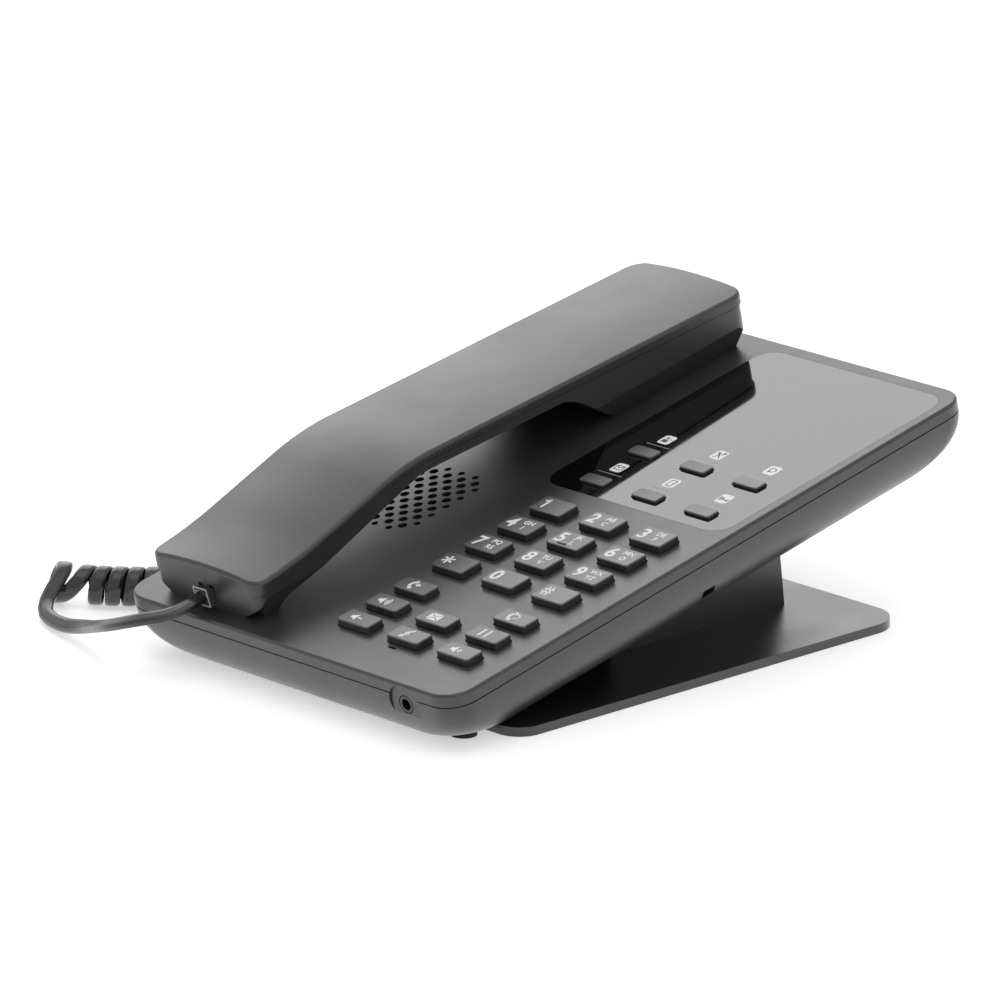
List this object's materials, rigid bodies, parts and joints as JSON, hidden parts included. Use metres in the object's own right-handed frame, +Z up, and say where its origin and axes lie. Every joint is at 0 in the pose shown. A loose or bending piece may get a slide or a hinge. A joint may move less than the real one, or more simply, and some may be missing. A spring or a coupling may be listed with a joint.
{
  "type": "corded desk telephone",
  "caption": "Sloping charcoal desk telephone on a low stand, with a handset in its cradle, a curly cord, dial and function keys, a speaker grille and a glossy faceplate",
  "frame": {"origin": "on the desk under the middle of the telephone without its cord", "axes": "+X to the right of the user who faces the keys, +Y from the front edge to the rear, +Z up"},
  "size_m": [0.1975, 0.2275, 0.0851],
  "materials": {
    "case": "fine-grained charcoal moulding",
    "handset": "fine-grained charcoal moulding",
    "faceplate": "polished black",
    "key": "satin black cap with a printed legend",
    "button": "satin black cap",
    "stand": "fine-grained charcoal moulding",
    "foot": "soft black rubber",
    "cord": "glossy flexible cord jacket",
    "plug": "clear moulding",
    "jack": "black moulding",
    "board": "green laminate",
    "mat": "translucent grey rubber",
    "speaker": "black frame and cone",
    "gasket": "black foam",
    "capsule": "drawn metal can",
    "screw": "plated steel"
  },
  "bodies": {
    "phone": {"upper_case": "case", "lower_case": "case", "faceplate": "faceplate", "main_board": "board", "keypad_mat": "mat", "button_mat": "mat", "speaker": "speaker", "speaker_gasket": "gasket", "base_microphone": "capsule", "headset_jack": "jack", "network_jack": "jack", "base_jack": "jack", "base_plug": "plug", "hook_switch": "jack", "case_screws": "screw", "board_screws": "screw", "stand_screws": "screw", "stand": "stand", "rubber_feet": "foot", "handset_lead": "cord", "curly_cord": "cord", "base_lead": "cord"},
    "hook": {"hook_plunger": "key"},
    "handset": {"handset_lid": "handset", "handset_shell": "handset", "handset_receiver": "capsule", "handset_microphone": "capsule", "handset_jack": "jack", "handset_screws": "screw", "handset_plug": "plug"},
    "key_1_cap": {"key_1": "key"},
    "key_2_cap": {"key_2": "key"},
    "key_3_cap": {"key_3": "key"},
    "key_4_cap": {"key_4": "key"},
    "key_5_cap": {"key_5": "key"},
    "key_6_cap": {"key_6": "key"},
    "key_7_cap": {"key_7": "key"},
    "key_8_cap": {"key_8": "key"},
    "key_9_cap": {"key_9": "key"},
    "key_star_cap": {"key_star": "key"},
    "key_0_cap": {"key_0": "key"},
    "key_hash_cap": {"key_hash": "key"},
    "key_transfer_cap": {"key_transfer": "key"},
    "key_speaker_cap": {"key_speaker": "key"},
    "key_volume_down_cap": {"key_volume_down": "key"},
    "key_message_cap": {"key_message": "key"},
    "key_flash_cap": {"key_flash": "key"},
    "key_redial_cap": {"key_redial": "key"},
    "key_hold_cap": {"key_hold": "key"},
    "key_volume_up_cap": {"key_volume_up": "key"},
    "service_button_1_cap": {"service_button_1": "button"},
    "service_button_2_cap": {"service_button_2": "button"},
    "service_button_3_cap": {"service_button_3": "button"},
    "service_button_4_cap": {"service_button_4": "button"},
    "service_button_5_cap": {"service_button_5": "button"},
    "service_button_6_cap": {"service_button_6": "button"}
  },
  "joints": [
    {"name": "handset_lift", "type": "slide", "parent": "phone", "child": "handset", "axis": [0, -0.2272, 0.9739], "range_m": [0, 0.08]},
    {"name": "hook_rise", "type": "slide", "parent": "phone", "child": "hook", "axis": [0, -0.2272, 0.9739], "range_m": [0, 0.0028]},
    {"name": "key_1_press", "type": "slide", "parent": "phone", "child": "key_1_cap", "axis": [0, 0.2272, -0.9739], "range_m": [0, 0.0012], "stiffness_N_per_m": 600, "springref_m": -0.0008},
    {"name": "key_2_press", "type": "slide", "parent": "phone", "child": "key_2_cap", "axis": [0, 0.2272, -0.9739], "range_m": [0, 0.0012], "stiffness_N_per_m": 600, "springref_m": -0.0008},
    {"name": "key_3_press", "type": "slide", "parent": "phone", "child": "key_3_cap", "axis": [0, 0.2272, -0.9739], "range_m": [0, 0.0012], "stiffness_N_per_m": 600, "springref_m": -0.0008},
    {"name": "key_4_press", "type": "slide", "parent": "phone", "child": "key_4_cap", "axis": [0, 0.2272, -0.9739], "range_m": [0, 0.0012], "stiffness_N_per_m": 600, "springref_m": -0.0008},
    {"name": "key_5_press", "type": "slide", "parent": "phone", "child": "key_5_cap", "axis": [0, 0.2272, -0.9739], "range_m": [0, 0.0012], "stiffness_N_per_m": 600, "springref_m": -0.0008},
    {"name": "key_6_press", "type": "slide", "parent": "phone", "child": "key_6_cap", "axis": [0, 0.2272, -0.9739], "range_m": [0, 0.0012], "stiffness_N_per_m": 600, "springref_m": -0.0008},
    {"name": "key_7_press", "type": "slide", "parent": "phone", "child": "key_7_cap", "axis": [0, 0.2272, -0.9739], "range_m": [0, 0.0012], "stiffness_N_per_m": 600, "springref_m": -0.0008},
    {"name": "key_8_press", "type": "slide", "parent": "phone", "child": "key_8_cap", "axis": [0, 0.2272, -0.9739], "range_m": [0, 0.0012], "stiffness_N_per_m": 600, "springref_m": -0.0008},
    {"name": "key_9_press", "type": "slide", "parent": "phone", "child": "key_9_cap", "axis": [0, 0.2272, -0.9739], "range_m": [0, 0.0012], "stiffness_N_per_m": 600, "springref_m": -0.0008},
    {"name": "key_star_press", "type": "slide", "parent": "phone", "child": "key_star_cap", "axis": [0, 0.2272, -0.9739], "range_m": [0, 0.0012], "stiffness_N_per_m": 600, "springref_m": -0.0008},
    {"name": "key_0_press", "type": "slide", "parent": "phone", "child": "key_0_cap", "axis": [0, 0.2272, -0.9739], "range_m": [0, 0.0012], "stiffness_N_per_m": 600, "springref_m": -0.0008},
    {"name": "key_hash_press", "type": "slide", "parent": "phone", "child": "key_hash_cap", "axis": [0, 0.2272, -0.9739], "range_m": [0, 0.0012], "stiffness_N_per_m": 600, "springref_m": -0.0008},
    {"name": "key_transfer_press", "type": "slide", "parent": "phone", "child": "key_transfer_cap", "axis": [0, 0.2272, -0.9739], "range_m": [0, 0.0012], "stiffness_N_per_m": 600, "springref_m": -0.0008},
    {"name": "key_speaker_press", "type": "slide", "parent": "phone", "child": "key_speaker_cap", "axis": [0, 0.2272, -0.9739], "range_m": [0, 0.0012], "stiffness_N_per_m": 600, "springref_m": -0.0008},
    {"name": "key_volume_down_press", "type": "slide", "parent": "phone", "child": "key_volume_down_cap", "axis": [0, 0.2272, -0.9739], "range_m": [0, 0.0012], "stiffness_N_per_m": 600, "springref_m": -0.0008},
    {"name": "key_message_press", "type": "slide", "parent": "phone", "child": "key_message_cap", "axis": [0, 0.2272, -0.9739], "range_m": [0, 0.0012], "stiffness_N_per_m": 600, "springref_m": -0.0008},
    {"name": "key_flash_press", "type": "slide", "parent": "phone", "child": "key_flash_cap", "axis": [0, 0.2272, -0.9739], "range_m": [0, 0.0012], "stiffness_N_per_m": 600, "springref_m": -0.0008},
    {"name": "key_redial_press", "type": "slide", "parent": "phone", "child": "key_redial_cap", "axis": [0, 0.2272, -0.9739], "range_m": [0, 0.0012], "stiffness_N_per_m": 600, "springref_m": -0.0008},
    {"name": "key_hold_press", "type": "slide", "parent": "phone", "child": "key_hold_cap", "axis": [0, 0.2272, -0.9739], "range_m": [0, 0.0012], "stiffness_N_per_m": 600, "springref_m": -0.0008},
    {"name": "key_volume_up_press", "type": "slide", "parent": "phone", "child": "key_volume_up_cap", "axis": [0, 0.2272, -0.9739], "range_m": [0, 0.0012], "stiffness_N_per_m": 600, "springref_m": -0.0008},
    {"name": "service_button_1_press", "type": "slide", "parent": "phone", "child": "service_button_1_cap", "axis": [0, 0.2272, -0.9739], "range_m": [0, 0.0007], "stiffness_N_per_m": 600, "springref_m": -0.0008},
    {"name": "service_button_2_press", "type": "slide", "parent": "phone", "child": "service_button_2_cap", "axis": [0, 0.2272, -0.9739], "range_m": [0, 0.0007], "stiffness_N_per_m": 600, "springref_m": -0.0008},
    {"name": "service_button_3_press", "type": "slide", "parent": "phone", "child": "service_button_3_cap", "axis": [0, 0.2272, -0.9739], "range_m": [0, 0.0007], "stiffness_N_per_m": 600, "springref_m": -0.0008},
    {"name": "service_button_4_press", "type": "slide", "parent": "phone", "child": "service_button_4_cap", "axis": [0, 0.2272, -0.9739], "range_m": [0, 0.0007], "stiffness_N_per_m": 600, "springref_m": -0.0008},
    {"name": "service_button_5_press", "type": "slide", "parent": "phone", "child": "service_button_5_cap", "axis": [0, 0.2272, -0.9739], "range_m": [0, 0.0007], "stiffness_N_per_m": 600, "springref_m": -0.0008},
    {"name": "service_button_6_press", "type": "slide", "parent": "phone", "child": "service_button_6_cap", "axis": [0, 0.2272, -0.9739], "range_m": [0, 0.0007], "stiffness_N_per_m": 600, "springref_m": -0.0008}
  ],
  "couplings": [
    {"joint": "hook_rise", "follows": "handset_lift", "ratio": 0.035}
  ]
}
